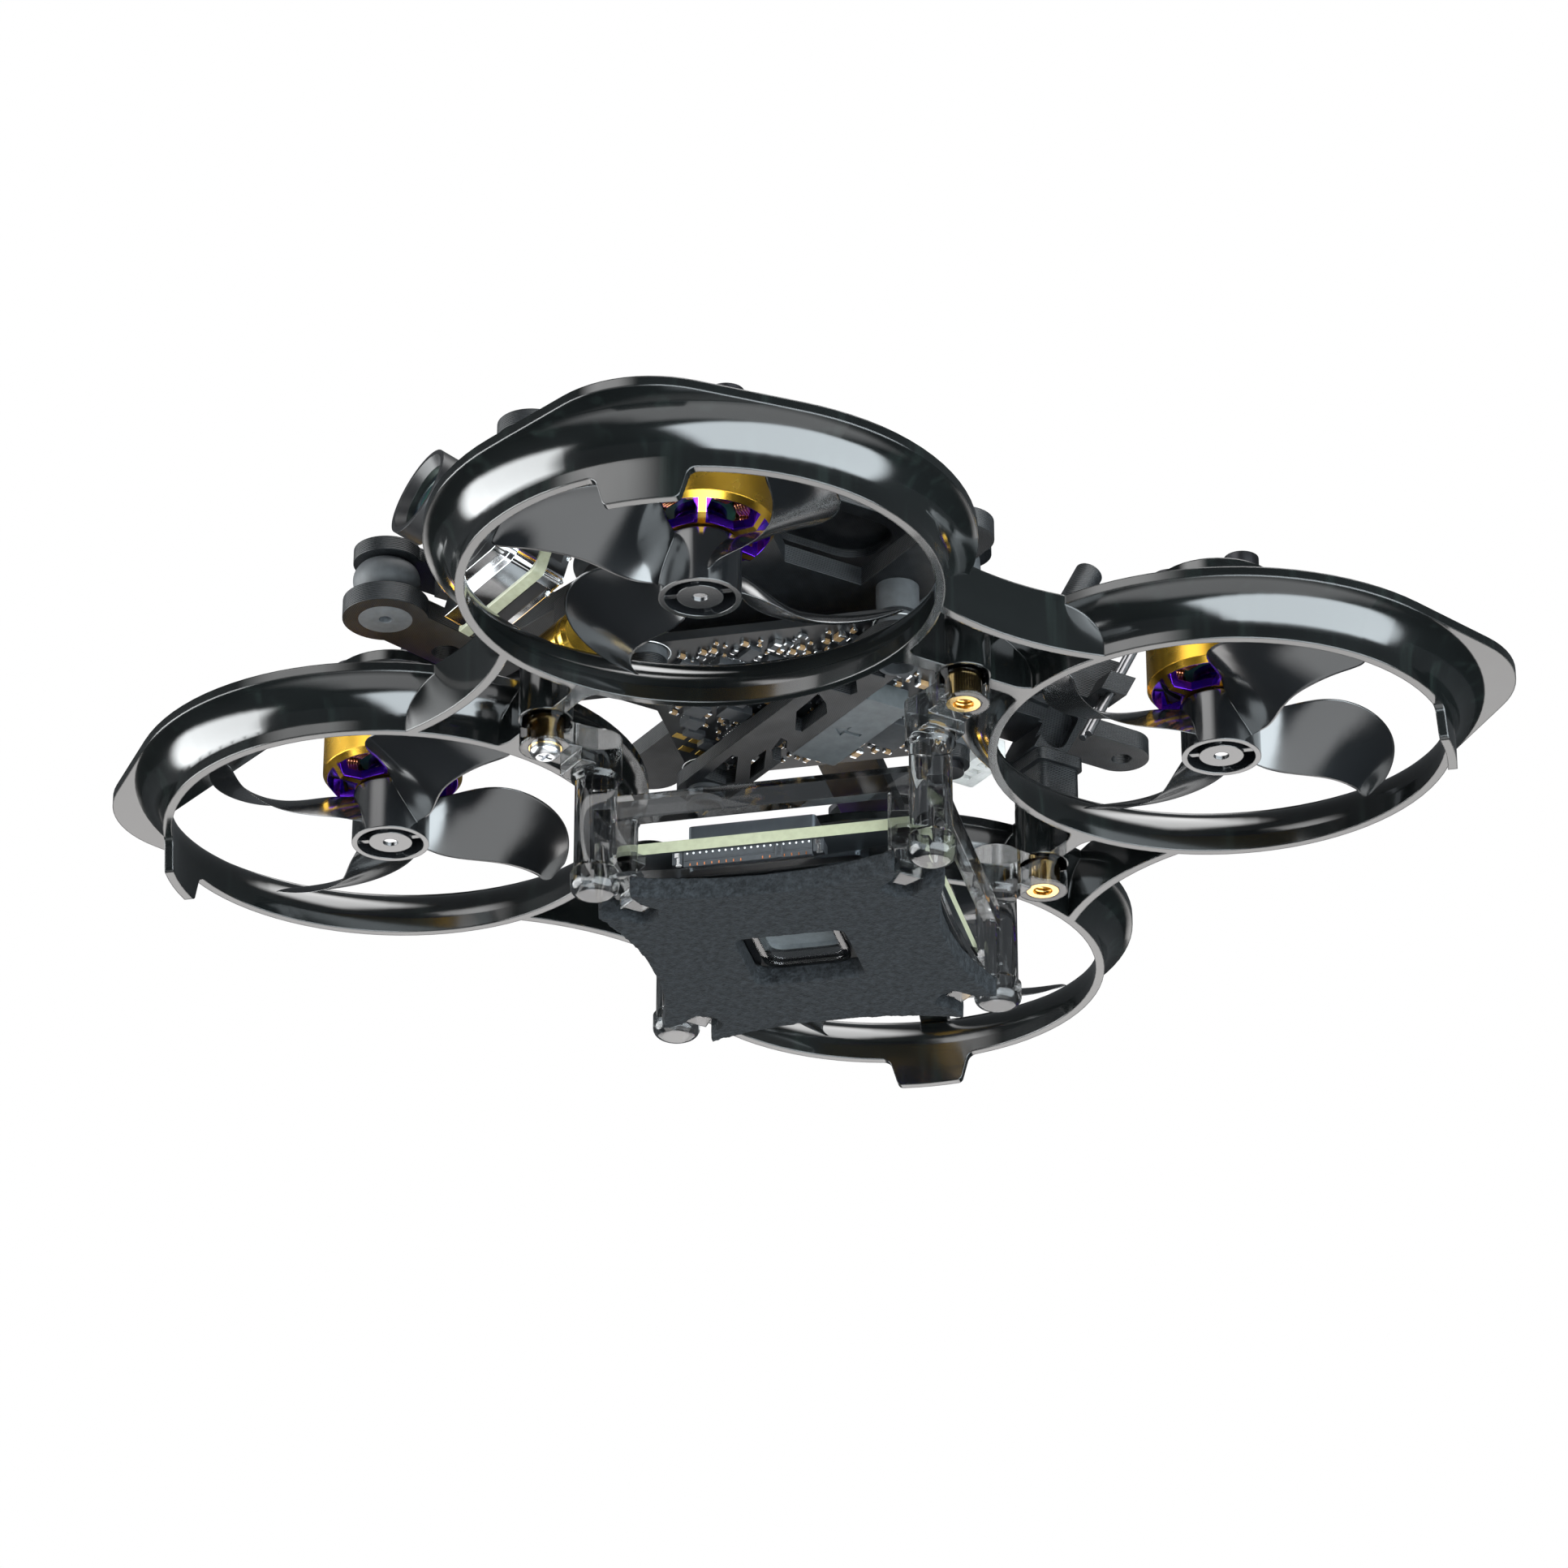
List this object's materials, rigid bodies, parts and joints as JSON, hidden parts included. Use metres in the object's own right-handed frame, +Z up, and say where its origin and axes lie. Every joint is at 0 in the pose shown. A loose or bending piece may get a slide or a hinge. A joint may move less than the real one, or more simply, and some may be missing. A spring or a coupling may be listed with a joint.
{
  "type": "ducted fpv quadcopter",
  "caption": "Small ducted racing quadcopter with pusher propellers, a tilting nose camera, a clear cage under the frame for the video unit and a foam landing pad.",
  "frame": {"origin": "middle of the foam pad's lower face, on which the drone stands", "axes": "+Z up along the motor axes, -Y the way the drone flies and its camera looks, +X its port side"},
  "size_m": [0.1123, 0.1122, 0.0529],
  "materials": {
    "smoke_frame": "glossy smoked near-black",
    "smoke_prop": "glossy dark smoke",
    "clear_smoke": "clear smoked polycarbonate",
    "printed_black": "printed in fine layers",
    "purple_metal": "anodised violet",
    "gold_metal": "anodised gold",
    "copper": "enamelled wire",
    "magnet_steel": "plain",
    "steel": "bright",
    "black_steel": "blackened",
    "brass": "bright",
    "foam": "rough foam",
    "button_plastic": "glossy",
    "board_green": "pale green laminate",
    "board_black": "black solder mask",
    "dark_plastic": "satin",
    "shield_metal": "bright tinned",
    "rubber_grey": "matte",
    "module_grey": "satin",
    "gold_can": "gold film",
    "disc_grey": "matte",
    "lens_black": "satin black",
    "lens_glass": "coated",
    "lead_grey": "plain",
    "white_plastic": "white"
  },
  "bodies": {
    "airframe": {"duct_frame": "smoke_frame", "motor_deck": "printed_black", "motor_base_front_left": "purple_metal", "stator_front_left": "copper", "motor_base_front_right": "purple_metal", "stator_front_right": "copper", "motor_base_rear_left": "purple_metal", "stator_rear_left": "copper", "motor_base_rear_right": "purple_metal", "stator_rear_right": "copper", "motor_bearings": "steel", "motor_screws": "black_steel", "cage": "clear_smoke", "cage_ears": "clear_smoke", "cage_inserts": "brass", "cage_screw": "steel", "foam_pad": "foam", "pad_bezel": "clear_smoke", "air_unit_board": "board_green", "air_unit_connector": "dark_plastic", "air_unit_shields": "shield_metal", "flight_controller": "board_black", "fc_components": "dark_plastic", "fc_grommets": "rubber_grey", "fc_screws": "black_steel", "stack_bracket": "printed_black", "direction_block": "module_grey", "capacitor": "gold_can", "damper_inserts": "disc_grey", "damper_balls": "rubber_grey", "camera_plate": "printed_black", "camera_screws": "steel", "antenna_mount": "printed_black", "antenna_tube": "printed_black", "antenna_leads": "lead_grey", "rear_connector": "white_plastic"},
    "rotor_front_left": {"bell_front_left": "gold_metal", "magnet_ring_front_left": "magnet_steel", "shaft_front_left": "steel", "propeller_front_left": "smoke_prop"},
    "rotor_front_right": {"bell_front_right": "gold_metal", "magnet_ring_front_right": "magnet_steel", "shaft_front_right": "steel", "propeller_front_right": "smoke_prop"},
    "rotor_rear_left": {"bell_rear_left": "gold_metal", "magnet_ring_rear_left": "magnet_steel", "shaft_rear_left": "steel", "propeller_rear_left": "smoke_prop"},
    "rotor_rear_right": {"bell_rear_right": "gold_metal", "magnet_ring_rear_right": "magnet_steel", "shaft_rear_right": "steel", "propeller_rear_right": "smoke_prop"},
    "camera": {"camera_housing": "shield_metal", "camera_board": "board_green", "camera_shield": "shield_metal", "camera_barrel": "lens_black", "camera_lens": "lens_glass"},
    "button": {"pad_button": "button_plastic"}
  },
  "joints": [
    {"name": "spin_front_left", "type": "hinge", "parent": "airframe", "child": "rotor_front_left", "pos_m": [0.03005, -0.03005, 0.0202], "axis": [0, 0, 1], "continuous": true},
    {"name": "spin_front_right", "type": "hinge", "parent": "airframe", "child": "rotor_front_right", "pos_m": [-0.03005, -0.03005, 0.0202], "axis": [0, 0, 1], "continuous": true},
    {"name": "spin_rear_left", "type": "hinge", "parent": "airframe", "child": "rotor_rear_left", "pos_m": [0.03005, 0.03005, 0.0202], "axis": [0, 0, 1], "continuous": true},
    {"name": "spin_rear_right", "type": "hinge", "parent": "airframe", "child": "rotor_rear_right", "pos_m": [-0.03005, 0.03005, 0.0202], "axis": [0, 0, 1], "continuous": true},
    {"name": "camera_tilt", "type": "hinge", "parent": "airframe", "child": "camera", "pos_m": [0, -0.03443, 0.03676], "axis": [-1, 0, 0], "range_deg": [-20, 30]},
    {"name": "button_press", "type": "slide", "parent": "airframe", "child": "button", "axis": [0, 0, 1], "range_m": [0, 0.0005], "stiffness_N_per_m": 250, "springref_m": -0.0004}
  ]
}
